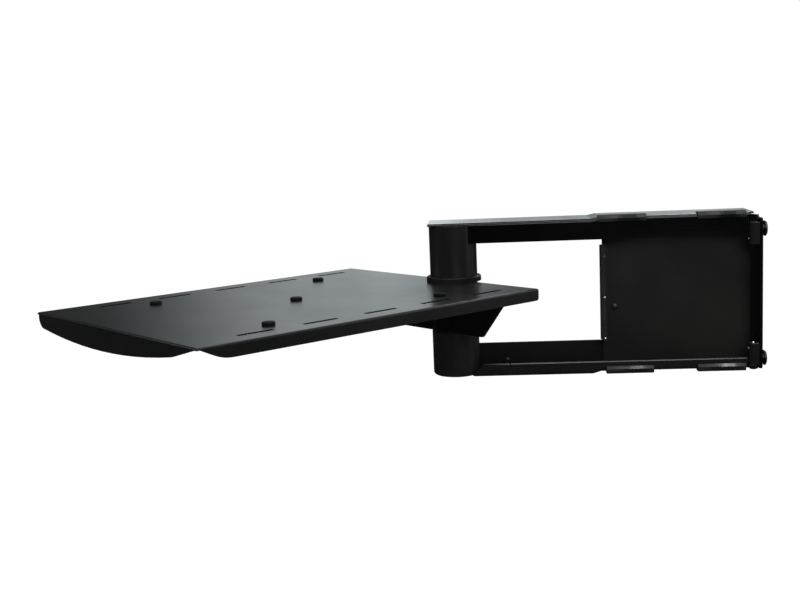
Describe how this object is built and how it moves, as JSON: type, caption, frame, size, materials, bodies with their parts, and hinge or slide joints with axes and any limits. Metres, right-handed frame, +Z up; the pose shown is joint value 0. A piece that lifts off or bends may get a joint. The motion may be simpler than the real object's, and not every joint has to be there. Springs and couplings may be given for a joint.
{
  "type": "laptop arm mount",
  "caption": "Wall-track laptop arm: hinged plate, folded two-rail arm with cover panel, and a sheet tray that swivels on a post between the rails.",
  "frame": {"origin": "centre of the track plate's back face, on the wall", "axes": "+X into the wall, +Z up, the arm reaches out along -X and opens its rails toward -Y"},
  "size_m": [0.7266, 0.4895, 0.1672],
  "materials": {
    "satin_black": "satin black powder coat",
    "clip_black": "glossy black moulding",
    "rubber": "black rubber",
    "plastic": "black moulded plastic",
    "steel": "plain turned steel",
    "zinc": "zinc-plated steel",
    "bronze": "sintered bronze"
  },
  "bodies": {
    "wall": {"track_plate": "satin_black", "upper_track_stud": "satin_black", "lower_track_stud": "satin_black", "upper_knuckle": "satin_black", "lower_knuckle": "satin_black", "grub_screws": "zinc"},
    "arm": {"upper_rail": "satin_black", "lower_rail": "satin_black", "rail_screw": "satin_black", "web_panel": "satin_black", "edge_guard": "rubber", "guard_screws": "zinc", "panel_plug": "plastic", "upper_inner_clip": "clip_black", "upper_outer_clip": "clip_black", "lower_inner_clip": "clip_black", "lower_outer_clip": "clip_black", "upper_tube": "satin_black", "lower_tube": "satin_black", "lower_tube_cap": "plastic", "upper_tube_core": "steel", "lower_tube_core": "steel", "swivel_shaft": "steel", "shaft_nut": "zinc", "collar": "plastic", "thrust_ring": "plastic", "upper_pivot": "zinc", "lower_pivot": "zinc", "upper_spacer": "satin_black", "lower_spacer": "satin_black", "hinge_washers": "steel"},
    "tray": {"tray_pan": "satin_black", "tray_bracket": "satin_black", "bracket_nuts": "zinc", "hub": "satin_black", "upper_bush": "bronze", "lower_bush": "bronze", "bumper_middle": "rubber", "bumper_left_near": "rubber", "bumper_right_near": "rubber", "bumper_right_far": "rubber", "bumper_left_far": "rubber"}
  },
  "joints": [
    {"name": "arm_swing", "type": "hinge", "parent": "wall", "child": "arm", "pos_m": [-0.0082, -0.019, 0], "axis": [0, 0, 1], "range_deg": [-5, 90]},
    {"name": "tray_swivel", "type": "hinge", "parent": "arm", "child": "tray", "pos_m": [-0.3174, 0, 0], "axis": [0, 0, 1], "range_deg": [-120, 75]}
  ]
}
